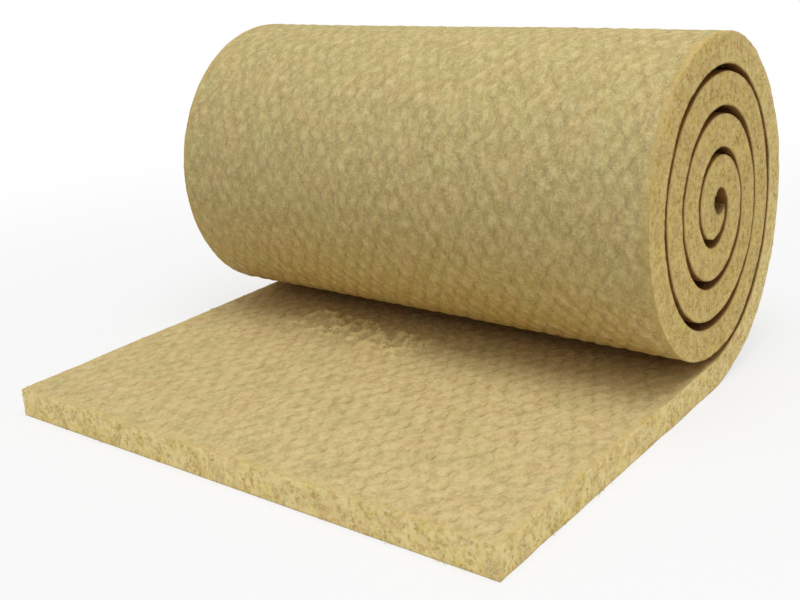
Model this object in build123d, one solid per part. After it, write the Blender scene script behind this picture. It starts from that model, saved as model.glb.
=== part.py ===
from build123d import *
import os

# Driving sizes of the mineral wool blanket, in millimetres
blanket_width = 1000.0
blanket_thickness = 50.0
flap_reach = 675.0
cut_edge_radius = 4.0

# The blanket is wound from the eye outwards, in quarter turns, up to the line where the roll stands on the floor
first_turn_radius = 31.0
turn_gap = 16.0
quarter_turn_count = 14
side_flattening_ratio = 0.07

# The blanket's inner end bends tighter than the turns round it, which leaves the eye open
eye_radius = 20.0
eye_bend_angle = 115.0
end_quarter_count = 3
end_bend_angle = 42.0

turn_pitch = blanket_thickness + turn_gap
roll_radius = first_turn_radius + blanket_thickness + turn_pitch * quarter_turn_count / 4


def quarter_radius(quarter):
    # The sides of each turn are a little flatter than its top and bottom
    flattening = side_flattening_ratio if quarter % 2 else -side_flattening_ratio
    return (roll_radius - turn_pitch * quarter / 4) * (1 + flattening)


def wall(depth, last_quarter, last_angle):
    # One face of the wound blanket, from the floor line inwards
    arc = JernArc((0, depth), (1, 0), quarter_radius(0) - depth, 45)
    for quarter in range(1, last_quarter):
        arc = JernArc(arc @ 1, arc % 1, quarter_radius(quarter) - depth, 90)
    return JernArc(arc @ 1, arc % 1, quarter_radius(last_quarter) - depth, last_angle)


# The blanket's section: a flat flap on the floor that goes over into an open spiral
with BuildPart() as blanket:
    with BuildSketch(Plane.XZ.offset(-blanket_width / 2)):
        with BuildLine():
            outer_end = wall(0, quarter_turn_count + end_quarter_count, end_bend_angle)
            inner_run = wall(blanket_thickness, quarter_turn_count, 90)
            eye_arc = JernArc(inner_run @ 1, inner_run % 1, eye_radius, eye_bend_angle)
            Line(eye_arc @ 1, outer_end @ 1)
            Polyline((0, 0), (-flap_reach, 0), (-flap_reach, blanket_thickness), (0, blanket_thickness))
        make_face()
    extrude(amount=blanket_width)
    # The cut edges at the flap's free end are soft
    fillet(blanket.faces().sort_by(Axis.X)[0].edges(), radius=cut_edge_radius)

# The stored blanket stands on the floor with the middle of its floor plan at the origin
extent = blanket.part.bounding_box()
placed = Pos(-(extent.min.X + extent.max.X) / 2, 0, -extent.min.Z) * blanket.part

os.makedirs("parts", exist_ok=True)
export_step(placed, "parts/blanket.step")
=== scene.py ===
import math

import bpy
from mathutils import Matrix, Vector


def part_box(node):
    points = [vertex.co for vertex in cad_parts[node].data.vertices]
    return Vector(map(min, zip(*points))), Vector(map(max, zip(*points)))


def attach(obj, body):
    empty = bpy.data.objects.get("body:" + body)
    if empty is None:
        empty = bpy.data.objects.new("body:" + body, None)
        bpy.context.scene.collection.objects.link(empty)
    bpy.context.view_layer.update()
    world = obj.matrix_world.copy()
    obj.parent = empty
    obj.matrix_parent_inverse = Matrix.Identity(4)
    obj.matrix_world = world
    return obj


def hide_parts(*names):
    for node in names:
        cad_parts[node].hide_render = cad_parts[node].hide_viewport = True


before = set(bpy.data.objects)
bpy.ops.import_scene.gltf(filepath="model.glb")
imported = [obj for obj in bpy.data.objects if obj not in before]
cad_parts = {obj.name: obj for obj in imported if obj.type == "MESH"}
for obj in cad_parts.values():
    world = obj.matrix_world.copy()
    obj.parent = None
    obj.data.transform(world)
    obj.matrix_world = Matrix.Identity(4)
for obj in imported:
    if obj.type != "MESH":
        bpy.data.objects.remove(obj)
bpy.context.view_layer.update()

# The blanket is one length of mineral wool felt, 50 mm thick and a metre wide, pressed flat and cut square.
# Hexagonal wire netting is laid on both its faces and pulled into them, so that the felt makes a pillow in each cell.
# It is wound by hand from the eye outwards into an open spiral, and its outer end is laid out flat on the floor.
blanket_width = 1.0
blanket_thickness = 0.05
flap_reach = 0.675
first_turn_radius = 0.031
turn_pitch = 0.066
quarter_turns = 14
side_flattening = 0.07
eye_radius, eye_bend = 0.020, 115
inner_end_bend = 42
cut_edge_radius = 0.006
floor_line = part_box("blanket")[0].x + flap_reach

# The netting's cells: their width from twist to twist, and how far apart their rows lie along each face of the blanket
columns_in_cell = 6
columns_in_width = 188
column_step = blanket_width / columns_in_width
cell_width = columns_in_cell * column_step
inner_row_pitch = 0.0315
outer_row_pitch = 0.0252
twist_share = 0.44
rows_laid_out = 23
turn_up = rows_laid_out * inner_row_pitch

roll_radius = first_turn_radius + blanket_thickness + turn_pitch * quarter_turns / 4


def quarter_radius(quarter):
    """Radius of the outer face in one quarter turn; the sides of a turn are a little flatter than its top."""
    flattening = side_flattening if quarter % 2 else -side_flattening
    return (roll_radius - turn_pitch * quarter / 4) * (1 + flattening)


turns = [(quarter_radius(quarter), 90 if quarter else 45) for quarter in range(quarter_turns + 1)]
outer_bends = turns + [(quarter_radius(quarter_turns + extra), 90) for extra in (1, 2)]
outer_bends += [(quarter_radius(quarter_turns + 3), inner_end_bend)]
inner_bends = [(radius - blanket_thickness, angle) for radius, angle in turns] + [(eye_radius, eye_bend)]
spare_lead = 0.02


def wound_face(name, height, bends):
    """One face of the wound blanket as a curve, with a short straight lead at both its ends."""
    x, z, heading = floor_line, height, 0.0
    points = [(x - flap_reach - spare_lead, z), (x, z)]
    for radius, angle in bends:
        chord = 2 * radius * math.sin(math.radians(0.5))
        for _ in range(angle):
            heading += math.radians(0.5)
            x, z = x + chord * math.cos(heading), z + chord * math.sin(heading)
            heading += math.radians(0.5)
            points.append((x, z))
    points.append((x + spare_lead * math.cos(heading), z + spare_lead * math.sin(heading)))
    curve = bpy.data.curves.new(name, "CURVE")
    curve.dimensions = "3D"
    line = curve.splines.new("POLY")
    line.points.add(len(points) - 1)
    for point, (x, z) in zip(line.points, points):
        point.co = (x, 0.0, z, 1.0)
    made = bpy.data.objects.new(name, curve)
    bpy.context.scene.collection.objects.link(made)
    return made


outer_face = wound_face("outer_face", 0.0, outer_bends)
inner_face = wound_face("inner_face", blanket_thickness, inner_bends)

# Length along the blanket's middle, its outer face and its inner face, at the start of each bend
milestones = [(0.0, 0.0, 0.0), (flap_reach, flap_reach, flap_reach)]
inner_rest = sum(math.radians(angle) * radius for radius, angle in inner_bends[len(turns):])
outer_rest = sum(math.radians(angle) * radius for radius, angle in outer_bends[len(turns):])
bend_lengths = [(math.radians(angle) * radius, math.radians(angle) * (radius - blanket_thickness))
                for radius, angle in turns]
for outer_length, inner_length in bend_lengths + [(outer_rest, inner_rest)]:
    middle, outer, inner = milestones[-1]
    milestones.append((middle + (outer_length + inner_length) / 2, outer + outer_length, inner + inner_length))
blanket_length = milestones[-1][0]
# The nip is where the roll's belly goes down to the flap again, and the belly is the lower part of the turn before it
nip = milestones[5][0] + (milestones[6][0] - milestones[5][0]) * 0.55
belly_start = (milestones[4][0] + milestones[5][0]) / 2 - 0.05


def even_steps(start, end, step):
    """Places from start up to, but not including, end."""
    count = max(1, round((end - start) / step))
    return [start + (end - start) * number / count for number in range(count)]


# The flat blanket's mesh is fine where the netting's pillows are seen, and coarse on the faces inside the roll
hidden_station_step = 0.0115
layer_step = 0.0055
near_edge_columns = (0, 1, 2, 4, 8, 16, 30)
first_middle_column, middle_column_step = 47, 16
soft_edge = [0.0, cut_edge_radius * 0.45]
stations = soft_edge + [cut_edge_radius] + even_steps(inner_row_pitch / 4, turn_up, inner_row_pitch / 4)
stations += even_steps(turn_up, nip, outer_row_pitch / 4)
stations += even_steps(nip, blanket_length - cut_edge_radius, hidden_station_step)
stations += [blanket_length - cut_edge_radius, blanket_length - soft_edge[1], blanket_length]

half_width = blanket_width / 2
columns = [-half_width, soft_edge[1] - half_width, cut_edge_radius - half_width]
columns += [number * column_step for number in range(2 - columns_in_width // 2, columns_in_width // 2 - 1)]
columns += [half_width - cut_edge_radius, half_width - soft_edge[1], half_width]
last_column = len(columns) - 1
all_columns = range(len(columns))
middle_columns = range(first_middle_column, last_column - near_edge_columns[-1], middle_column_step)
few_columns = sorted({*near_edge_columns, *middle_columns, *(last_column - column for column in near_edge_columns)})
layers = [0.0, soft_edge[1]] + even_steps(cut_edge_radius, blanket_thickness - cut_edge_radius, layer_step)
layers += [blanket_thickness - cut_edge_radius, blanket_thickness - soft_edge[1], blanket_thickness]

points, faces = [], []


def point(along, across, depth):
    points.append((along, across, depth))
    return len(points) - 1


def row(along, depth, picked):
    """A row of points across the blanket, by column."""
    return {column: point(along, columns[column], depth) for column in picked}


def side(along, across, bottom, top):
    """The points of one long edge at one station, from the outer face to the inner one."""
    return [bottom] + [point(along, across, depth) for depth in layers[1:-1]] + [top]


def join_rows(near, far):
    """Faces between two rows; where a row of all columns meets one of few, each face has many corners."""
    if near.keys() == far.keys():
        near, far = list(near.values()), list(far.values())
        faces.extend(zip(near, near[1:], far[1:], far))
        return
    shared = sorted(near.keys() & far.keys())
    for first, last in zip(shared, shared[1:]):
        there = [near[column] for column in range(first, last + 1) if column in near]
        back = [far[column] for column in range(last, first - 1, -1) if column in far]
        faces.append(there + back)


before = None
for along in stations:
    at_free_end = along <= 2 * cut_edge_radius
    outer_row = row(along, 0.0, all_columns if at_free_end or flap_reach < along < nip + 0.01 else few_columns)
    inner_row = row(along, blanket_thickness, all_columns if along < turn_up else few_columns)
    near_side = side(along, -half_width, outer_row[0], inner_row[0])
    far_side = side(along, half_width, outer_row[last_column], inner_row[last_column])
    if before:
        join_rows(before[0], outer_row)
        join_rows(inner_row, before[1])
        faces.extend(zip(near_side, near_side[1:], before[2][1:], before[2]))
        faces.extend(zip(before[3], before[3][1:], far_side[1:], far_side))
    if along in (0.0, blanket_length):
        rows = [outer_row]
        for number, depth in enumerate(layers[1:-1], 1):
            between = row(along, depth, [column for column in outer_row if 0 < column < last_column])
            rows.append({0: near_side[number], **between, last_column: far_side[number]})
        rows.append(inner_row)
        for lower, upper in zip(rows, rows[1:]):
            join_rows(lower, upper) if along else join_rows(upper, lower)
    before = (outer_row, inner_row, near_side, far_side)

flat_mesh = bpy.data.meshes.new("flat_blanket")
flat_mesh.from_pydata(points, [], faces)
flat_mesh.polygons.foreach_set("use_smooth", [True] * len(flat_mesh.polygons))


class Strand:
    """One socket of a node tree. Sums on it are written as plain arithmetic, and add Math nodes."""

    def __init__(self, tree, socket=None):
        self.tree = tree
        self.socket = socket

    def node(self, kind, settings=None, inputs=None, output=0):
        """A node of any type: its settings first, then its sockets' values or links; a list links each strand."""
        made = self.tree.nodes.new(kind)
        for name, value in (settings or {}).items():
            setattr(made, name, value)
        for name, value in (inputs or {}).items():
            if isinstance(value, (Strand, list)):
                for strand in value if isinstance(value, list) else [value]:
                    self.tree.links.new(strand.socket, made.inputs[name])
            else:
                made.inputs[name].default_value = value
        return Strand(self.tree, made.outputs[output])

    def maths(self, operation, *values):
        return self.node("ShaderNodeMath", {"operation": operation}, dict(enumerate(values)))

    def vector(self, operation, *values, output=0):
        return self.node("ShaderNodeVectorMath", {"operation": operation}, dict(enumerate(values)), output)

    def part(self, axis):
        return self.node("ShaderNodeSeparateXYZ", {}, {0: self}, axis)

    def size(self):
        return self.node("ShaderNodeMath", {"operation": "ABSOLUTE"}, {0: self})

    def rise(self, low, high):
        """0 below low, 1 above high, and a soft step between them."""
        inputs = {"Value": self, "From Min": low, "From Max": high}
        return self.node("ShaderNodeMapRange", {"interpolation_type": "SMOOTHSTEP"}, inputs)

    def __add__(self, other):
        return self.maths("ADD", self, other)

    def __radd__(self, other):
        return self.maths("ADD", other, self)

    def __sub__(self, other):
        return self.maths("SUBTRACT", self, other)

    def __rsub__(self, other):
        return self.maths("SUBTRACT", other, self)

    def __mul__(self, other):
        return self.maths("MULTIPLY", self, other)

    def __rmul__(self, other):
        return self.maths("MULTIPLY", other, self)

    def __truediv__(self, other):
        return self.maths("DIVIDE", self, other)

    def __rtruediv__(self, other):
        return self.maths("DIVIDE", other, self)

    def __neg__(self):
        return self.maths("MULTIPLY", self, -1.0)


def noise(place, pitch, detail=1.0, roughness=0.5, output=0):
    """Cloudy noise, 0 to 1, on a place in metres, with its pitch along, across and, if given, through the blanket."""
    scaled = place.vector("DIVIDE", place, (*pitch, 1.0)[:3])
    settings = {"noise_dimensions": f"{len(pitch)}D"}
    inputs = {"Vector": scaled, "Scale": 1.0, "Detail": detail, "Roughness": roughness}
    return place.node("ShaderNodeTexNoise", settings, inputs, output)


def reach(beside, past):
    """How far a place is from the end of a short straight line that it is beside, and past."""
    past = past.maths("MAXIMUM", past, 0.0)
    return beside.maths("SQRT", beside * beside + past * past)


def netting(place):
    """How far, in metres, a place on either face is from the netting's nearest twist and nearest slanting wire."""
    on_inner_face = place.part(2).rise(0.4 * blanket_thickness, 0.6 * blanket_thickness)
    rows = (place.part(0) - turn_up) / (outer_row_pitch + (inner_row_pitch - outer_row_pitch) * on_inner_face)
    across = place.part(1)
    half_cell, row_height = cell_width / 2, (inner_row_pitch + outer_row_pitch) / 2
    half_twist = row_height * twist_share / 2
    rise, slope = row_height - 2 * half_twist, math.hypot(row_height - 2 * half_twist, half_cell)
    beside = across.maths("PINGPONG", across, half_cell)
    beyond = rows.maths("PINGPONG", rows, 1.0) * row_height
    even_twist = reach(beside, beyond - half_twist)
    odd_twist = reach(half_cell - beside, (row_height - half_twist) - beyond)
    slant = (beside * (rise / slope) - (beyond - half_twist) * (half_cell / slope)).size()
    return even_twist.maths("MINIMUM", even_twist, odd_twist), slant


def strokes(place):
    """Soft strokes and clots of pressed fibre, 0 to 1, which run a little more along the blanket than across."""
    return noise(place, (0.020, 0.016), 2.0, 0.6)


def fibres(place):
    """Single long fibres, 0 to 1, which lie every way in the pressed face."""
    seen = place.part(0) * 0.0
    for degrees in (15, 75, 135):
        turn = math.radians(degrees)
        along_fibre = place.part(0) * math.cos(turn) + place.part(1) * math.sin(turn)
        beside_fibre = place.part(1) * math.cos(turn) - place.part(0) * math.sin(turn)
        laid = place.node("ShaderNodeCombineXYZ", {}, {0: along_fibre, 1: beside_fibre})
        seen = seen.maths("MAXIMUM", seen, noise(laid, (0.014, 0.0013), 1.0))
    return seen


def grains(place):
    """Grains and torn ends of cut wool, 0 to 1."""
    return noise(place, (0.009, 0.009, 0.010), 3.0, 0.65)


def loosened(place):
    """Where the felt has been rubbed loose in front of the roll, and how far it stands up there in lumps, 0 to 1."""
    from_line = (place.part(0) - place.part(1) * 0.12 - 0.488).size()
    patch = (1 - from_line.rise(0.035, 0.075)) * place.part(1).rise(-0.05, 0.01) * (1 - place.part(1).rise(0.27, 0.33))
    patch = patch * place.part(2).rise(0.6 * blanket_thickness, 0.9 * blanket_thickness)
    return patch, patch * noise(place, (0.026, 0.020), 1.0).rise(0.42, 0.62)


winding = bpy.data.node_groups.new("Wind the blanket", "GeometryNodeTree")
winding.interface.new_socket("Geometry", in_out="OUTPUT", socket_type="NodeSocketGeometry")
winding.interface.new_socket("Geometry", in_out="INPUT", socket_type="NodeSocketGeometry")
winding_sizes = {
    "Outer face": outer_face,
    "Inner face": inner_face,
    "Finish": None,
    "Length": blanket_length,
    "Width": blanket_width,
    "Thickness": blanket_thickness,
    "Edge radius": cut_edge_radius,
    "Spare lead": spare_lead,
    "Pillow height": 0.0012,
    "Twist depth": 0.0008,
    "Uneven face": 0.0014,
    "Fuller turns": 0.0035,
    "Sunk": 0.0,
    "Grain height": 0.0024,
    "Uneven edge": 0.004,
    "Uneven turns": 0.003,
    "Strayed cells": 0.012,
    "Slanted end": 0.012,
    "Loosened lumps": 0.007,
}
winding_kinds = {"Outer face": "NodeSocketObject", "Inner face": "NodeSocketObject", "Finish": "NodeSocketMaterial"}
for name in winding_sizes:
    winding.interface.new_socket(name, in_out="INPUT", socket_type=winding_kinds.get(name, "NodeSocketFloat"))

wind = Strand(winding)
given = winding.nodes.new("NodeGroupInput")
take = {name: Strand(winding, given.outputs[name]) for name in ["Geometry", *winding_sizes]}
place = wind.node("GeometryNodeInputPosition")
edge_radius = take["Edge radius"]
half = take["Width"] / 2 - edge_radius
lowest = wind.node("ShaderNodeCombineXYZ", {}, {0: edge_radius, 1: -half, 2: edge_radius})
inner_end, top = take["Length"] - edge_radius, take["Thickness"] - edge_radius
highest = wind.node("ShaderNodeCombineXYZ", {}, {0: inner_end, 1: half, 2: top})
core = wind.vector("MINIMUM", wind.vector("MAXIMUM", place, lowest), highest)
outward = wind.vector("NORMALIZE", wind.vector("SUBTRACT", place, core))
cut = 1 - outward.part(2).size().rise(0.45, 0.95)


def turned(along):
    """How much longer the outer face is than the inner one, up to a length along the blanket's middle."""
    total = along * 0.0
    for (start, outer_start, inner_start), (end, outer_end, inner_end) in zip(milestones[1:], milestones[2:]):
        gained = (outer_end - outer_start) - (inner_end - inner_start)
        inputs = {"Value": along, "From Min": start, "From Max": end, "To Max": gained}
        total = total + wind.node("ShaderNodeMapRange", {}, inputs)
    return total


def on_face(face, length):
    """The point of one wound face at a length from the free end."""
    curve = wind.node("GeometryNodeObjectInfo", {}, {"Object": face}, "Geometry")
    settings = {"mode": "LENGTH", "use_all_curves": True}
    return wind.node("GeometryNodeSampleCurve", settings, {"Curves": curve, "Length": length}, "Position")


# The netting and the felt under it stray together from their even rows, but not at the blanket's own edges
from_ends = place.part(0).rise(0.0, 0.06) * (take["Length"] - place.part(0)).rise(0.0, 0.06)
from_edges = (take["Width"] / 2 - place.part(1).size()).rise(0.0, 0.06)
strayed = noise(place, (0.13, 0.13, 1.0), 2.0, 0.65, 1)
strayed = wind.vector("SUBTRACT", strayed, (0.5, 0.5, 0.5))
along_stray = strayed.part(0) * 2 * take["Strayed cells"] * from_ends
across_stray = strayed.part(1) * 2 * take["Strayed cells"] * from_edges

# Where the outer face lies on the floor it stays flat
lifted = place.part(0).rise(flap_reach, flap_reach + 0.1)
on_floor = (1 - lifted) * (1 - place.part(2).rise(0.0, 0.02))
# shut_in marks the gaps between the turns and the strip of flap that runs in under the roll: the felt gets painted
# shade there, its pillows flatten and the turns swell fuller.
in_gap = (place.part(2) / take["Thickness"]).rise(0.2, 0.8)
outer_shut = place.part(0).rise(nip - 0.04, nip + 0.06)
inner_shut = place.part(0).rise(flap_reach - 0.12, flap_reach + 0.12)
shut_in = outer_shut + (inner_shut - outer_shut) * in_gap

twist, slant = netting(place)
pillow = twist.maths("MINIMUM", twist, slant).rise(0.0, cell_width / 2) - 0.5
plumpness = noise(place, (0.06, 0.05, 1.0), 1.0).rise(0.2, 0.8) + 0.5
pressed_height = pillow * plumpness * take["Pillow height"] * (1 - shut_in)
pressed_height = pressed_height - (1 - twist.rise(0.0, 0.006)) * take["Twist depth"]
pressed_height = pressed_height + (noise(place, (0.035, 0.025, 1.0), 1.0) - 0.5) * 2 * take["Uneven face"]
pressed_height = pressed_height + shut_in * take["Fuller turns"] + loosened(place)[1] * take["Loosened lumps"]
pressed_height = pressed_height - noise(place, (0.02, 0.02, 1.0), 0.0) * take["Sunk"]
cut_height = (grains(place) - 0.5) * 2 * take["Grain height"]
height = (pressed_height + (cut_height - pressed_height) * cut) * (1 - on_floor)
swelling = wind.node("ShaderNodeCombineXYZ", {}, {0: height, 1: height, 2: height})
swollen = wind.vector("MULTIPLY_ADD", outward, swelling, place)

across = swollen.part(1) + across_stray
end_side = across.maths("SIGN", across)
tucked = wind.node("ShaderNodeCombineXYZ", {}, {0: place.part(0), 1: end_side * 3.0})
uneven_edge = (noise(tucked, (0.16, 1.0, 1.0), 2.0) - 0.5) * 2 * take["Uneven edge"]
across = across + uneven_edge * end_side * across.size().rise(0.3, 0.5)
uneven_turns = (noise(place, (0.30, 0.45, 9.0), 1.0) - 0.5) * 2 * take["Uneven turns"]
depth = (swollen.part(2) + uneven_turns * lifted) / take["Thickness"]
near_inner_end = 1 - (take["Length"] - place.part(0)).rise(0.0, 0.06)
along = swollen.part(0) + along_stray + (1 - depth * 2) * near_inner_end * take["Slanted end"]
gained = turned(along) / 2
outer_point = on_face(take["Outer face"], along + gained + take["Spare lead"])
inner_point = on_face(take["Inner face"], along - gained + take["Spare lead"])
mixing = {"data_type": "VECTOR", "clamp_factor": False}
wound = wind.node("ShaderNodeMix", mixing, {0: depth, 4: outer_point, 5: inner_point}, 1)
wound = wind.vector("ADD", wound, wind.node("ShaderNodeCombineXYZ", {}, {1: across}))
wound = wind.vector("MAXIMUM", wound, (-10.0, -10.0, 0.0))

kept = take["Geometry"]
for name, kind, value in (("spread", "FLOAT_VECTOR", place), ("cut", "FLOAT", cut), ("shut_in", "FLOAT", shut_in)):
    inputs = {"Geometry": kept, "Name": name, "Value": value}
    kept = wind.node("GeometryNodeStoreNamedAttribute", {"data_type": kind}, inputs)
moved = wind.node("GeometryNodeSetPosition", {}, {"Geometry": kept, "Position": wound})
whole = wind.node("GeometryNodeRealizeInstances", {}, {"Geometry": moved})
whole = wind.node("GeometryNodeSetMaterial", {}, {"Geometry": whole, "Material": take["Finish"]})
winding.links.new(whole.socket, winding.nodes.new("NodeGroupOutput").inputs[0])


def tint(red, green, blue):
    """A colour as seen on a screen, 0 to 255, turned into light."""
    return (*(((value / 255 + 0.055) / 1.055) ** 2.4 for value in (red, green, blue)), 1.0)


def wool(name):
    """A new material for one kind of surface, with the place on the laid-out blanket to draw its pattern on."""
    made = bpy.data.materials.new(name)
    made.use_nodes = True
    made.node_tree.nodes.clear()
    felt = Strand(made.node_tree)
    return made, felt.node("ShaderNodeAttribute", {"attribute_name": "spread"}, {}, "Vector")


def measured(felt, name):
    """A number that the wound mesh carries."""
    return felt.node("ShaderNodeAttribute", {"attribute_name": name}, {}, "Fac")


def blend(factor, first, second):
    """One colour over another, by a factor that varies over the surface."""
    return factor.node("ShaderNodeMix", {"data_type": "RGBA"}, {0: factor, 6: first, 7: second}, 2)


def finish(made, colour, height):
    """Matt wool of that colour, with a relief of that height in metres."""
    relief = colour.node("ShaderNodeBump", {}, {"Strength": 1.0, "Distance": 1.0, "Height": height})
    surface = {"Base Color": colour, "Normal": relief, "Roughness": 0.95, "Specular IOR Level": 0.1}
    surface = colour.node("ShaderNodeBsdfPrincipled", {}, surface)
    made.node_tree.links.new(surface.socket, made.node_tree.nodes.new("ShaderNodeOutputMaterial").inputs[0])


# Pressed faces: tan felt with fibres and specks, palest on the pillow in each cell by a painted highlight and darkest
# at the twists by painted crease shade; its pale specks are painted fibre highlights.
# The inner face is paler and warmer than the outer one, both are browner where the roll lies over the flap by painted
# warm shade, and between the turns painted shade stands for the little light that comes back from them.
felt_finish, spread = wool("mineral_wool_felt")
twist, slant = netting(spread)
stroke = strokes(spread)
specks = noise(spread, (0.0065, 0.0050), 1.0)
clouds = noise(spread, (0.060, 0.070), 1.0, 0.5, 1)
overgrown = noise(spread, (0.040, 0.030), 1.0)
fibre = fibres(spread)
loose, lumps = loosened(spread)
on_inner_face = spread.part(2).rise(0.2 * blanket_thickness, 0.8 * blanket_thickness)
shown = (1 - loose) * (1 - on_inner_face * 0.45)
# Painted shade in the creases where the twists and the slanting wires pull the felt in; the same masks sink the bump
# there.
twist_crease_shade = (1 - twist.rise(0.0, 0.0060)) * overgrown.rise(0.25, 0.6) * shown
slant_crease_shade = (1 - slant.rise(0.0, 0.0045)) * overgrown.rise(0.3, 0.7) * shown
# Painted highlight on the top of each cell's pillow.
painted_pillow_highlight = twist.maths("MINIMUM", twist, slant).rise(0.003, 0.013) * stroke.rise(0.38, 0.62) * (1 - loose)
# Painted warm shade, standing for the flap's bounce light: the outer face turns browner on the roll's belly down to the
# nip.
outer_felt = blend(spread.part(0).rise(belly_start, nip), tint(184, 169, 114), tint(207, 169, 88))
# Painted shadow: the flap turns redder and darker just in front of the roll, where the roll's shadow falls.
inner_felt = blend(spread.part(0).rise(0.50, 0.66) * 0.55, tint(216, 194, 138), tint(205, 149, 83))
pressed = blend(on_inner_face, outer_felt, inner_felt)
pressed = blend(clouds.part(0).rise(0.45, 0.7) * 0.4, pressed, tint(208, 176, 124))
pressed = blend(clouds.part(1).rise(0.45, 0.7) * 0.4, pressed, tint(190, 182, 120))
pressed = blend((1 - stroke.rise(0.30, 0.52)) * 0.36, pressed, tint(166, 140, 82))
pressed = blend(stroke.rise(0.50, 0.72) * 0.28, pressed, tint(226, 208, 152))
pressed = blend(painted_pillow_highlight * 0.19, pressed, tint(238, 222, 168))
pressed = blend(twist_crease_shade.maths("MAXIMUM", twist_crease_shade * 0.34, slant_crease_shade * 0.24), pressed, tint(140, 114, 62))
# Painted highlights: pale specks where single fibres catch the light.
pressed = blend(specks.rise(0.66, 0.80) * 0.4, pressed, tint(236, 220, 168))
pressed = blend((1 - specks.rise(0.20, 0.34)) * 0.35, pressed, tint(150, 124, 70))
pressed = blend(fibre.rise(0.60, 0.78) * 0.45, pressed, tint(232, 214, 162))
pressed = blend((1 - fibre.rise(0.46, 0.58)) * 0.25, pressed, tint(162, 136, 80))
pressed = blend(lumps * 0.8, pressed, tint(240, 220, 156))
# Painted shade: dark brown where the felt is shut in between the turns and in the roll's shadow on the flap at the nip.
pressed = blend(measured(spread, "shut_in") * 0.85, pressed, tint(118, 70, 14))
pressed_height = stroke * 0.0024 + specks * 0.0005 + fibre * 0.0007 - twist_crease_shade * 0.0005 - slant_crease_shade * 0.0004

# Cut faces: yellower and rougher, all grains and torn ends of fibre, which fray over the edges onto the pressed faces.
# Those of the flap are paler than those of the turns, and the inner end in the eye is the darkest, by painted shade.
grain = grains(spread)
tufts = noise(spread, (0.028, 0.028, 0.030), 1.0, 0.5, 1)
painted_glints = noise(spread, (0.0045, 0.0045, 0.0050), 0.0)
in_turns = spread.part(0).rise(flap_reach, flap_reach + 1.1)
torn = blend(in_turns, tint(254, 232, 166), tint(228, 200, 129))
torn = blend(tufts.part(0).rise(0.48, 0.66) * 0.5, torn, blend(in_turns, tint(240, 222, 132), tint(230, 208, 116)))
torn = blend(tufts.part(1).rise(0.48, 0.66) * 0.4, torn, blend(in_turns, tint(226, 194, 140), tint(208, 176, 126)))
torn = blend((1 - grain.rise(0.32, 0.54)) * 0.45, torn, blend(in_turns, tint(204, 158, 76), tint(174, 136, 62)))
torn = blend(grain.rise(0.56, 0.74) * 0.4, torn, tint(250, 236, 178))
# Painted glints: pale sparks where torn fibre ends catch the light.
torn = blend(painted_glints.rise(0.68, 0.82) * 0.5, torn, tint(252, 242, 196))
# Painted shade: the inner end, deep in the eye, turns dark brown.
torn = blend(spread.part(0).rise(blanket_length - 0.010, blanket_length - 0.002) * 0.75, torn, tint(98, 64, 22))
torn = blend((1 - measured(spread, "cut").rise(0.2, 0.95)) * 0.5, torn, tint(176, 150, 92))
to_edge = spread.maths("MINIMUM", half_width - spread.part(1).size(), spread.part(0))
frayed = 1 - (to_edge + (grain - 0.5) * 0.030).rise(0.000, 0.014)
frayed = frayed.maths("MAXIMUM", frayed * (1 - measured(spread, "shut_in")), measured(spread, "cut").rise(0.0, 0.4))
finish(felt_finish, blend(frayed, pressed, torn), pressed_height + (grain * 0.0045 - pressed_height) * frayed)


def shaped(name, mesh, steps):
    """A mesh put through trees of geometry nodes, one after the other, and kept as a plain piece."""
    raw = bpy.data.objects.new("raw_" + name, mesh)
    bpy.context.scene.collection.objects.link(raw)
    for tree, sizes in steps:
        modifier = raw.modifiers.new(tree.name, "NODES")
        modifier.node_group = tree
        for socket in tree.interface.items_tree:
            if socket.in_out == "INPUT" and socket.name in sizes:
                modifier[socket.identifier] = sizes[socket.name]
    evaluated = raw.evaluated_get(bpy.context.evaluated_depsgraph_get())
    plain_mesh = bpy.data.meshes.new_from_object(evaluated)
    plain_mesh.name = name
    bpy.data.objects.remove(raw)
    piece = bpy.data.objects.new(name, plain_mesh)
    bpy.context.scene.collection.objects.link(piece)
    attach(piece, "root")
    return piece


blanket = shaped("blanket_wool", flat_mesh, [(winding, winding_sizes | {"Finish": felt_finish})])
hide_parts("blanket")

# Loose wool: crumbs and short wisps of fibre that cling to the cut faces and to the loosened felt in front of the roll.
# They are the same mineral wool, torn out when the blanket was cut and rubbed.
fibre_radius = 0.0003
crumb_size = 0.0050
wisp_lines = (
    ((0.0, 0.0, -0.0010), (0.0015, 0.0005, 0.0010), (0.0035, 0.0005, 0.0020),
     (0.0055, -0.0005, 0.0020), (0.0080, -0.0010, 0.0010)),
    ((0.0005, 0.0, -0.0010), (0.0, 0.0015, 0.0005), (-0.0010, 0.0035, 0.0015),
     (-0.0020, 0.0055, 0.0018), (-0.0040, 0.0070, 0.0005)),
    ((-0.0005, 0.0, -0.0010), (-0.0015, -0.0010, 0.0010), (-0.0030, -0.0020, 0.0025),
     (-0.0045, -0.0020, 0.0030), (-0.0060, -0.0035, 0.0025)),
)
wisp_curve = bpy.data.curves.new("wisp_fibres", "CURVE")
wisp_curve.dimensions = "3D"
for line in wisp_lines:
    spline = wisp_curve.splines.new("POLY")
    spline.points.add(len(line) - 1)
    for knot, spot in zip(spline.points, line):
        knot.co = (*spot, 1.0)
wisp_fibres = bpy.data.objects.new("wisp_fibres", wisp_curve)
bpy.context.scene.collection.objects.link(wisp_fibres)

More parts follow.
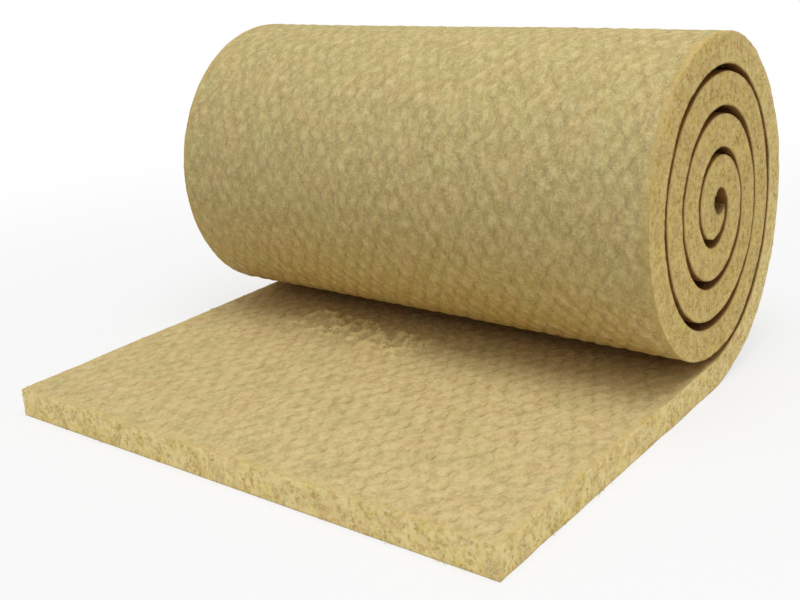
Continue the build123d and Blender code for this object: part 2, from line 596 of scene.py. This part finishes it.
shedding = bpy.data.node_groups.new("Shed loose wool", "GeometryNodeTree")
shedding.interface.new_socket("Geometry", in_out="OUTPUT", socket_type="NodeSocketGeometry")
shedding.interface.new_socket("Geometry", in_out="INPUT", socket_type="NodeSocketGeometry")
shedding_sizes = {
    "Fibres": wisp_fibres,
    "Finish": None,
    "Fibre radius": fibre_radius,
    "Crumb size": crumb_size,
    "Blanket length": blanket_length,
    "Thickness": blanket_thickness,
    "Crumbs on a cut square metre": 9500.0,
    "Crumbs on a loose square metre": 9000.0,
    "Wisps on a cut square metre": 1100.0,
    "Wisps on a loose square metre": 1500.0,
    "Crumb unevenness": 0.0026,
    "Smallest": 0.5,
    "Largest": 1.5,
    "Most tilt": 0.35,
}
shedding_kinds = {"Fibres": "NodeSocketObject", "Finish": "NodeSocketMaterial"}
for name in shedding_sizes:
    shedding.interface.new_socket(name, in_out="INPUT", socket_type=shedding_kinds.get(name, "NodeSocketFloat"))
shed = Strand(shedding)
given = shedding.nodes.new("NodeGroupInput")
take = {name: Strand(shedding, given.outputs[name]) for name in ["Geometry", *shedding_sizes]}
laid_out = shed.node("GeometryNodeInputNamedAttribute", {"data_type": "FLOAT_VECTOR"}, {"Name": "spread"})
cut_share = shed.node("GeometryNodeInputNamedAttribute", {"data_type": "FLOAT"}, {"Name": "cut"})
lumpy = loosened(laid_out)[1]
outside_eye = 1 - laid_out.part(0).rise(take["Blanket length"] - 0.03, take["Blanket length"] - 0.02)
from_groove = (take["Thickness"] / 2 - (laid_out.part(2) - take["Thickness"] / 2).size()).rise(0.005, 0.009)
in_turns = laid_out.part(0).rise(flap_reach, flap_reach + 0.1)
freshly_cut = cut_share.rise(0.8, 1.0) * outside_eye * (1 - in_turns * (1 - from_groove))
least_tilt = shed.node("ShaderNodeCombineXYZ", {}, {0: -take["Most tilt"], 1: -take["Most tilt"], 2: 0.0})
most_tilt = shed.node("ShaderNodeCombineXYZ", {}, {0: take["Most tilt"], 1: take["Most tilt"], 2: 2 * math.pi})


def three_ways(value):
    """The same number in all three directions."""
    return value.node("ShaderNodeCombineXYZ", {}, {0: value, 1: value, 2: value})


def strewn(kind, thing, seed):
    """Copies of one thing all over the cut faces and the loosened felt, at random sizes and turns."""
    density = freshly_cut * take[kind + " on a cut square metre"] + lumpy * take[kind + " on a loose square metre"]
    inputs = {"Mesh": take["Geometry"], "Density": density, "Seed": seed}
    spots = shed.node("GeometryNodeDistributePointsOnFaces", {}, inputs)
    facing = Strand(shedding, spots.socket.node.outputs["Rotation"])
    random = {"data_type": "FLOAT_VECTOR"}
    tilt = shed.node("FunctionNodeRandomValue", random, {0: least_tilt, 1: most_tilt, "Seed": seed + 1})
    facing = shed.node("FunctionNodeRotateRotation", {"rotation_space": "LOCAL"}, {0: facing, 1: tilt})
    grown = {0: three_ways(take["Smallest"]), 1: three_ways(take["Largest"]), "Seed": seed + 2}
    grown = shed.node("FunctionNodeRandomValue", random, grown)
    inputs = {"Points": spots, "Instance": thing, "Rotation": facing, "Scale": grown}
    return shed.node("GeometryNodeInstanceOnPoints", {}, inputs)


ring = {"Resolution": 3, "Radius": take["Fibre radius"]}
ring = shed.node("GeometryNodeCurvePrimitiveCircle", {"mode": "RADIUS"}, ring)
wisp = shed.node("GeometryNodeObjectInfo", {}, {"Object": take["Fibres"]}, "Geometry")
wisp = shed.node("GeometryNodeCurveToMesh", {}, {"Curve": wisp, "Profile Curve": ring, "Fill Caps": True})
crumb = shed.node("GeometryNodeMeshIcoSphere", {}, {"Radius": take["Crumb size"] / 2, "Subdivisions": 1})
crumb_shape = shed.node("ShaderNodeCombineXYZ", {}, {0: 1.3, 1: 0.9, 2: 0.6})
crumb = shed.node("GeometryNodeTransform", {}, {"Geometry": crumb, "Scale": crumb_shape})
knobs = noise(shed.node("GeometryNodeInputPosition"), (0.0016, 0.0016, 0.0016), 0.0, 0.5, 1)
knobs = shed.vector("MULTIPLY", shed.vector("SUBTRACT", knobs, (0.5, 0.5, 0.6)), three_ways(take["Crumb unevenness"]))
crumb = shed.node("GeometryNodeSetPosition", {}, {"Geometry": crumb, "Offset": knobs})
shed_wool = shed.node("GeometryNodeJoinGeometry", {}, {0: [strewn("Crumbs", crumb, 5), strewn("Wisps", wisp, 23)]})
shed_wool = shed.node("GeometryNodeRealizeInstances", {}, {"Geometry": shed_wool})
above_floor = shed.vector("MAXIMUM", shed.node("GeometryNodeInputPosition"), (-10.0, -10.0, 0.0))
shed_wool = shed.node("GeometryNodeSetPosition", {}, {"Geometry": shed_wool, "Position": above_floor})
shed_wool = shed.node("GeometryNodeSetMaterial", {}, {"Geometry": shed_wool, "Material": take["Finish"]})
shedding.links.new(shed_wool.socket, shedding.nodes.new("NodeGroupOutput").inputs[0])

loose_finish, spread = wool("loose_mineral_wool")
each = noise(spread, (0.0035, 0.0035, 0.0035), 0.0)
place = spread.node("ShaderNodeTexCoord", {}, {}, "Object")
fuzz = noise(place, (0.0012, 0.0012, 0.0012), 2.0, 0.7)
in_turns = spread.part(0).rise(flap_reach, flap_reach + 1.1)
fluff = blend(in_turns, tint(242, 212, 128), tint(220, 188, 106))
fluff = blend(each.rise(0.35, 0.65), fluff, blend(in_turns, tint(254, 242, 186), tint(242, 222, 156)))
fluff = blend((1 - fuzz.rise(0.35, 0.55)) * 0.25, fluff, tint(190, 148, 68))
finish(loose_finish, fluff, fuzz * 0.0016)
loose_wool = shaped("loose_wool", blanket.data.copy(), [(shedding, shedding_sizes | {"Finish": loose_finish})])
loose_wool.data.polygons.foreach_set("use_smooth", [True] * len(loose_wool.data.polygons))
loose_wool.data.materials.pop(index=0)
bpy.data.objects.remove(wisp_fibres)

# The netting is two layers of hexagonal netting of 0.7 mm galvanised steel wire, one on each face of the felt.
# Neighbouring wires are twisted once round each other, part, and meet the wire on their other side in the next row.
# In the turns the wires are made only near the roll's ends, as the rest can't be seen.
wire_radius = 0.00035
wire_lift = 0.0005
wire_sunk = 0.0008
twists_in_row = 31
netting_start = inner_row_pitch / 2
hidden_margin = 0.07


def wire_pair(name, row_pitch):
    """Two wires that meet in one twist, from halfway down the cell before it to halfway up the one after it."""
    half_twist = row_pitch * twist_share / 2
    curve = bpy.data.curves.new(name, "CURVE")
    curve.dimensions = "3D"
    for hand in (-1, 1):
        line = [(-row_pitch / 2, hand * cell_width / 4, 0.0)]
        for quarter in range(5):
            angle = math.radians(90 * quarter)
            side, over = hand * wire_radius * math.cos(angle), hand * wire_radius * math.sin(angle)
            line.append((half_twist * (quarter / 2 - 1), side, over))
        line.append((row_pitch / 2, hand * cell_width / 4, 0.0))
        spline = curve.splines.new("POLY")
        spline.points.add(len(line) - 1)
        for knot, place in zip(spline.points, line):
            knot.co = (*place, 1.0)
    made = bpy.data.objects.new(name, curve)
    bpy.context.scene.collection.objects.link(made)
    return made


laying = bpy.data.node_groups.new("Lay the netting", "GeometryNodeTree")
laying.interface.new_socket("Geometry", in_out="OUTPUT", socket_type="NodeSocketGeometry")
laying.interface.new_socket("Geometry", in_out="INPUT", socket_type="NodeSocketGeometry")
laying_sizes = {
    "Wire pair": None,
    "Wire finish": None,
    "Wire radius": wire_radius,
    "Face depth": 0.0,
    "Cell width": cell_width,
    "Row pitch": 0.0,
    "First row": 0,
    "Rows": 0,
    "Twists in a row": twists_in_row,
    "Row zero": turn_up,
    "Half width": blanket_width / 2 - 0.01,
    "Seen from": 0.0,
    "Seen to": 0.0,
    "Margin": hidden_margin,
}
laying_kinds = {"Wire pair": "NodeSocketObject", "Wire finish": "NodeSocketMaterial"}
laying_kinds |= {name: "NodeSocketInt" for name in ("First row", "Rows", "Twists in a row")}
for name in laying_sizes:
    laying.interface.new_socket(name, in_out="INPUT", socket_type=laying_kinds.get(name, "NodeSocketFloat"))
lay = Strand(laying)
given = laying.nodes.new("NodeGroupInput")
take = {name: Strand(laying, given.outputs[name]) for name in laying_sizes}
number = lay.node("GeometryNodeInputIndex")
row_number = lay.maths("FLOOR", (number + 0.5) / take["Twists in a row"])
in_row = number - row_number * take["Twists in a row"]
row_number = row_number + take["First row"]
odd = lay.maths("PINGPONG", row_number, 1.0)
along = take["Row zero"] + row_number * take["Row pitch"]
across = (in_row - (take["Twists in a row"] - 1) / 2 + odd / 2) * take["Cell width"]
spot = lay.node("ShaderNodeCombineXYZ", {}, {0: along, 1: across, 2: take["Face depth"]})
spots = lay.node("GeometryNodePoints", {}, {"Count": take["Rows"] * take["Twists in a row"], "Position": spot})
here = lay.node("GeometryNodeInputPosition")
outside = here.part(1).size() - take["Half width"]
unseen = lay.maths("MAXIMUM", take["Seen from"] - here.part(0), here.part(0) - take["Seen to"])
inside_turns = take["Half width"] - take["Margin"] - here.part(1).size()
left_out = lay.maths("MAXIMUM", outside, lay.maths("MINIMUM", unseen, inside_turns))
left_out = lay.node("FunctionNodeCompare", {"data_type": "FLOAT", "operation": "GREATER_THAN"}, {0: left_out, 1: 0.0})
spots = lay.node("GeometryNodeDeleteGeometry", {"domain": "POINT"}, {"Geometry": spots, "Selection": left_out})
ring = {"Resolution": 3, "Radius": take["Wire radius"]}
ring = lay.node("GeometryNodeCurvePrimitiveCircle", {"mode": "RADIUS"}, ring)
pair = lay.node("GeometryNodeObjectInfo", {}, {"Object": take["Wire pair"]}, "Geometry")
pair = lay.node("GeometryNodeCurveToMesh", {}, {"Curve": pair, "Profile Curve": ring, "Fill Caps": True})
pair = lay.node("GeometryNodeSetMaterial", {}, {"Geometry": pair, "Material": take["Wire finish"]})
cells = lay.node("GeometryNodeInstanceOnPoints", {}, {"Points": spots, "Instance": pair})
laid = lay.node("GeometryNodeRealizeInstances", {}, {"Geometry": cells})
laid = lay.node("GeometryNodeSetMaterial", {}, {"Geometry": laid, "Material": take["Wire finish"]})
laying.links.new(laid.socket, laying.nodes.new("NodeGroupOutput").inputs[0])

netting_wire, spread = wool("galvanised_wire")
dulled = noise(spread, (0.03, 0.03, 0.03), 2.0)
zinc = blend(dulled.rise(0.35, 0.65), tint(190, 177, 146), tint(212, 201, 172))
zinc_surface = {"Base Color": zinc, "Metallic": 0.7, "Roughness": 0.4 + dulled * 0.2}
zinc_surface = zinc.node("ShaderNodeBsdfPrincipled", {}, zinc_surface)
shown_metal = netting_wire.node_tree.nodes.new("ShaderNodeOutputMaterial").inputs[0]
netting_wire.node_tree.links.new(zinc_surface.socket, shown_metal)

for name, row_pitch, depth, seen_from, seen_to in (
    ("outer_netting", outer_row_pitch, -wire_lift, flap_reach - 0.01, nip + 0.03),
    ("inner_netting", inner_row_pitch, blanket_thickness + wire_lift, 0.0, flap_reach + 0.09),
):
    pair = wire_pair(name + "_wires", row_pitch)
    first_row = math.ceil((netting_start - turn_up) / row_pitch)
    rows = math.floor((blanket_length - netting_start - turn_up) / row_pitch) - first_row + 1
    sizes = {"Wire pair": pair, "Wire finish": netting_wire, "Face depth": depth, "Row pitch": row_pitch}
    sizes |= {"First row": first_row, "Rows": rows, "Seen from": seen_from, "Seen to": seen_to}
    wound_sizes = winding_sizes | {"Sunk": wire_sunk, "Loosened lumps": 0.0, "Finish": netting_wire}
    wires = [(laying, laying_sizes | sizes), (winding, wound_sizes)]
    net = shaped(name, bpy.data.meshes.new(name + "_start"), wires)
    net.data.polygons.foreach_set("use_smooth", [True] * len(net.data.polygons))
    bpy.data.objects.remove(pair)

for helper in (outer_face, inner_face):
    bpy.data.objects.remove(helper)

# The floor is a plain pale studio floor. It goes over into a white background and keeps the soft shadow
# under the roll.
floor_mesh = bpy.data.meshes.new("floor")
floor_mesh.from_pydata([(-30, -30, 0), (30, -30, 0), (30, 30, 0), (-30, 30, 0)], [], [(0, 1, 2, 3)])
floor = bpy.data.objects.new("floor", floor_mesh)
bpy.context.scene.collection.objects.link(floor)
floor_finish = bpy.data.materials.new("pale_floor")
floor_finish.use_nodes = True
floor_finish.node_tree.nodes.clear()
ground = Strand(floor_finish.node_tree)
lit = ground.node("ShaderNodeBsdfDiffuse", {}, {"Color": (0.85, 0.85, 0.85, 1.0)})
white = ground.node("ShaderNodeEmission", {}, {"Color": (1.0, 1.0, 1.0, 1.0), "Strength": 1.0})
seen = ground.node("ShaderNodeLightPath", {}, {}, "Is Camera Ray")
seen = seen.maths("MAXIMUM", seen, ground.node("ShaderNodeLightPath", {}, {}, "Is Glossy Ray"))
seen = seen.maths("MAXIMUM", seen, ground.node("ShaderNodeLightPath", {}, {}, "Is Transmission Ray"))
spot = ground.node("ShaderNodeTexCoord", {}, {}, "Object")
away = spot.vector("LENGTH", spot, output="Value").rise(0.5, 2.5)
shine = seen * (0.72 + away * 0.28)
floor_look = ground.node("ShaderNodeMixShader", {}, {0: shine, 1: lit, 2: white})
shown_floor = floor_finish.node_tree.nodes.new("ShaderNodeOutputMaterial").inputs[0]
floor_finish.node_tree.links.new(floor_look.socket, shown_floor)
floor_mesh.materials.append(floor_finish)

# Soft studio light: an even white surround that shows as pure white behind the object,
# and a large soft lamp high on the laid-out side.
world = bpy.data.worlds.new("white_surround")
bpy.context.scene.world = world
world.use_nodes = True
world.node_tree.nodes.clear()
air = Strand(world.node_tree)
seen = air.node("ShaderNodeLightPath", {}, {}, "Is Camera Ray")
seen = seen.maths("MAXIMUM", seen, air.node("ShaderNodeLightPath", {}, {}, "Is Glossy Ray"))
seen = seen.maths("MAXIMUM", seen, air.node("ShaderNodeLightPath", {}, {}, "Is Transmission Ray"))
surround = air.node("ShaderNodeBackground", {}, {"Color": (1.0, 1.0, 1.0, 1.0), "Strength": 0.55 + seen * 0.45})
world.node_tree.links.new(surround.socket, world.node_tree.nodes.new("ShaderNodeOutputWorld").inputs[0])


def lamp(name, place, aim, size, power):
    light = bpy.data.lights.new(name, "AREA")
    light.shape, light.size, light.energy = "DISK", size, power
    made = bpy.data.objects.new(name, light)
    made.location = place
    made.rotation_euler = (Vector(aim) - Vector(place)).to_track_quat("-Z", "Y").to_euler()
    bpy.context.scene.collection.objects.link(made)


lamp("key_lamp", (-0.5, -0.6, 3.4), (0.0, 0.0, 0.2), 2.0, 56)

# The camera stands as the photograph's does: low on the laid-out side and tilted a little.
# It looks at a point on the roll from two metres away, and its frame is 800 by 600.
picture_width = 800
focal_length, rise_of_frame = 1154.0, 80
distance = 2.0440
looked_at = Vector((-0.1964 + 0.1886, 0.0, 0.2960))
azimuth, elevation, tilt = math.radians(-51.7588), math.radians(15.3187), math.radians(-3.7834)
back = Vector((math.sin(azimuth) * math.cos(elevation), -math.cos(azimuth) * math.cos(elevation), math.sin(elevation)))
level = (-back).cross(Vector((0.0, 0.0, 1.0))).normalized()
upward = level.cross(-back)
right = level * math.cos(tilt) + upward * math.sin(tilt)
up = upward * math.cos(tilt) - level * math.sin(tilt)
camera_data = bpy.data.cameras.new("camera")
camera_data.sensor_width = 36.0
camera_data.lens = focal_length / picture_width * camera_data.sensor_width
camera_data.shift_y = -rise_of_frame / picture_width
camera_data.clip_start, camera_data.clip_end = 0.05, 100.0
camera = bpy.data.objects.new("camera", camera_data)
camera.matrix_world = Matrix.Translation(looked_at + back * distance) @ Matrix((right, up, back)).transposed().to_4x4()
bpy.context.scene.collection.objects.link(camera)
bpy.context.scene.camera = camera
bpy.context.scene.view_settings.view_transform = "Standard"
